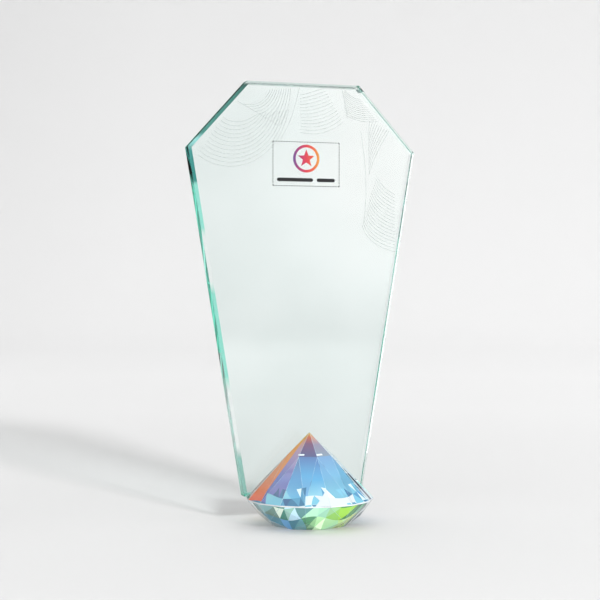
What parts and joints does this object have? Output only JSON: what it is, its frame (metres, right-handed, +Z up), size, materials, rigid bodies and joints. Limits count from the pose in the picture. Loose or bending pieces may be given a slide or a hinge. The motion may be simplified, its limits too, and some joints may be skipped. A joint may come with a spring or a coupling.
{
  "type": "crystal award",
  "caption": "Clear glass plaque award with sloped shoulders, standing in a slot cut in an upside-down faceted crystal diamond.",
  "frame": {"origin": "centre of the diamond's table, on the surface that the award stands on", "axes": "+Z up, from the table to the plaque's top edge; -Y the way the plaque's printed face looks; +X to the right as seen from the front"},
  "size_m": [0.113, 0.06, 0.208],
  "materials": {
    "coated_crystal": "cut and polished, with a rainbow coating that runs from orange at the point to blue and green at the table",
    "clear_adhesive": "cured clear",
    "clear_glass": "polished, with a green tint at the edges",
    "printed_ink": "thin printed ink"
  },
  "bodies": {
    "root": {"crystal_diamond": "coated_crystal", "adhesive_bond": "clear_adhesive", "glass_plaque": "clear_glass"}
  },
  "joints": []
}
